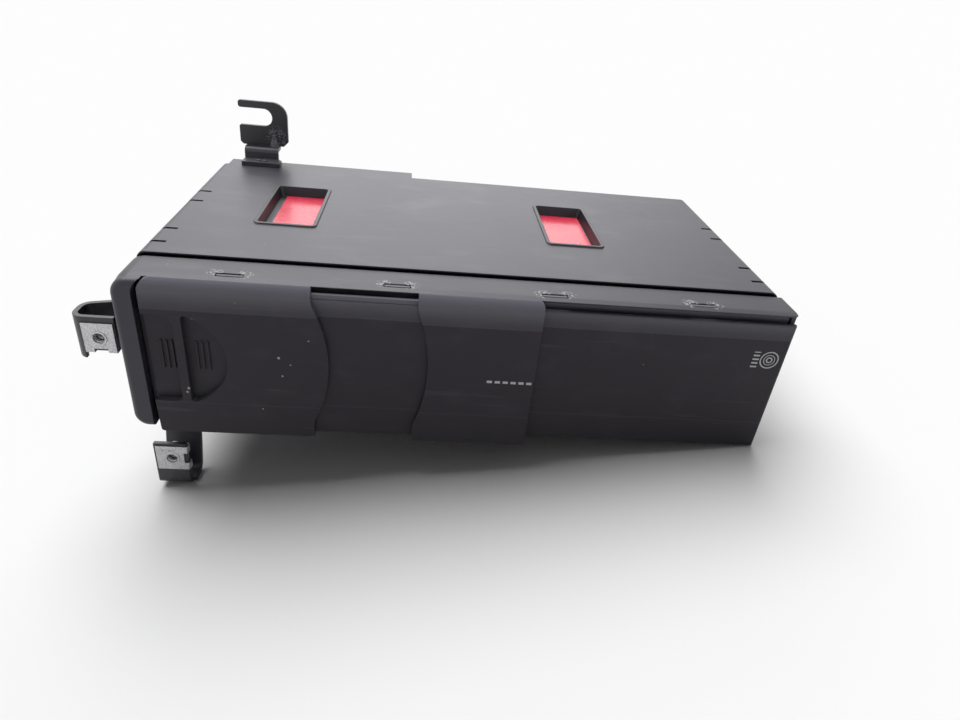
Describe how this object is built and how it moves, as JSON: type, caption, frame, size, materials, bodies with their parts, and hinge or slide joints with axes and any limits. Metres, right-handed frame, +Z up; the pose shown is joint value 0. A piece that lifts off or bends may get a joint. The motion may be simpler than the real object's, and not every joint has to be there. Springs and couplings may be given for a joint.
{
  "type": "car disc changer",
  "caption": "Flat car disc changer with a telescoping sliding door, two lid windows, an inner magazine and lifting player, and three steel mounting brackets.",
  "frame": {"origin": "centre of the whole object's box in X and Y, at its lowest point in Z, which is the foot bracket's bend", "axes": "+X towards the viewer's right along the front, +Y from the front to the rear, +Z up through the lid"},
  "size_m": [0.2766, 0.157, 0.1279],
  "materials": {
    "case_paint": "satin black paint",
    "frame_plastic": "fine grain",
    "door_plastic": "fine grain",
    "red_label": "glossy film",
    "bracket_black": "semi-gloss black",
    "nut_zinc": "dull zinc",
    "screw_steel": "dark zinc",
    "magazine_plastic": "moulded",
    "bay_steel": "zinc plated sheet",
    "guide_plastic": "natural acetal",
    "rod_steel": "polished",
    "motor_steel": "plated can",
    "board_green": "solder resist",
    "chip_black": "moulded",
    "socket_plastic": "moulded",
    "pin_brass": "tinned",
    "damper_rubber": "soft",
    "lens_glass": "clear"
  },
  "bodies": {
    "case": {"bottom_case": "case_paint", "top_cover": "case_paint", "left_window_label": "red_label", "right_window_label": "red_label", "case_screws": "screw_steel", "front_frame": "frame_plastic", "frame_screws": "screw_steel", "front_panel": "door_plastic", "magazine_case": "magazine_plastic", "magazine_cover": "magazine_plastic", "magazine_bay": "bay_steel", "bay_rails": "guide_plastic", "main_board": "board_green", "board_posts": "screw_steel", "board_chips": "chip_black", "rear_socket": "socket_plastic", "socket_pins": "pin_brass", "deck_frame": "bay_steel", "deck_dampers": "damper_rubber", "lift_posts": "rod_steel", "cam_guide_pins": "rod_steel", "lift_motor": "motor_steel", "hook_bracket": "bracket_black", "hook_rivets": "bracket_black", "side_bracket": "bracket_black", "side_bracket_screws": "screw_steel", "side_sheet_nut": "nut_zinc", "foot_bracket": "bracket_black", "foot_bracket_screws": "screw_steel", "foot_sheet_nut": "nut_zinc", "magazine_tray_1": "magazine_plastic", "magazine_tray_2": "magazine_plastic", "magazine_tray_3": "magazine_plastic", "magazine_tray_4": "magazine_plastic", "magazine_tray_5": "magazine_plastic", "magazine_tray_6": "magazine_plastic"},
    "outer_leaf": {"outer_leaf": "door_plastic"},
    "inner_leaf": {"door_carrier": "door_plastic", "grip_cover": "door_plastic"},
    "eject_button": {"eject_button": "door_plastic"},
    "lift_carriage": {"lift_carriage": "bay_steel", "spindle_motor": "motor_steel", "sled_rods": "rod_steel", "feed_motor": "motor_steel"},
    "lift_cams": {"front_cam": "bay_steel", "rear_cam": "bay_steel", "cam_link": "bay_steel", "lift_nut": "guide_plastic"},
    "lift_screw": {"lift_screw": "rod_steel"},
    "turntable": {"turntable": "guide_plastic"},
    "pickup": {"pickup_body": "chip_black", "pickup_lens": "lens_glass"},
    "feed_screw": {"feed_screw": "rod_steel"},
    "clamp_arm": {"clamp_arm": "bay_steel", "clamp_pin": "rod_steel"},
    "clamp_puck": {"clamp_puck": "guide_plastic"}
  },
  "joints": [
    {"name": "outer_leaf_slide", "type": "slide", "parent": "case", "child": "outer_leaf", "axis": [1, 0, 0], "range_m": [0, 0.0981]},
    {"name": "inner_leaf_slide", "type": "slide", "parent": "outer_leaf", "child": "inner_leaf", "axis": [1, 0, 0], "range_m": [0, 0.0366]},
    {"name": "eject_press", "type": "slide", "parent": "case", "child": "eject_button", "axis": [0, 1, 0], "range_m": [0, 0.002], "stiffness_N_per_m": 300},
    {"name": "lift", "type": "slide", "parent": "case", "child": "lift_carriage", "axis": [0, 0, 1], "range_m": [0, 0.021]},
    {"name": "cam_slide", "type": "slide", "parent": "case", "child": "lift_cams", "axis": [-1, 0, 0], "range_m": [0, 0.021]},
    {"name": "lift_screw_turn", "type": "hinge", "parent": "case", "child": "lift_screw", "pos_m": [0.1187, 0.0395, 0.0442], "axis": [1, 0, 0], "range_deg": [0, 2521]},
    {"name": "turntable_spin", "type": "hinge", "parent": "lift_carriage", "child": "turntable", "pos_m": [0.0737, -0.0055, 0.0562], "axis": [0, 0, 1], "continuous": true},
    {"name": "pickup_slide", "type": "slide", "parent": "lift_carriage", "child": "pickup", "axis": [0.7071, -0.7071, 0], "range_m": [0, 0.034]},
    {"name": "feed_screw_turn", "type": "hinge", "parent": "lift_carriage", "child": "feed_screw", "pos_m": [0.0737, -0.03096, 0.046], "axis": [0.7071, -0.7071, 0], "range_deg": [0, 5101]},
    {"name": "clamp_open", "type": "hinge", "parent": "lift_carriage", "child": "clamp_arm", "pos_m": [0.1247, -0.0055, 0.061], "axis": [0, 1, 0], "range_deg": [0, 5]},
    {"name": "puck_spin", "type": "hinge", "parent": "clamp_arm", "child": "clamp_puck", "pos_m": [0.0737, -0.0055, 0.0595], "axis": [0, 0, 1], "continuous": true}
  ],
  "couplings": [
    {"joint": "cam_slide", "follows": "lift", "ratio": 1},
    {"joint": "lift_screw_turn", "follows": "lift", "rad_per_m": 2094.4},
    {"joint": "feed_screw_turn", "follows": "pickup_slide", "rad_per_m": 2618}
  ]
}
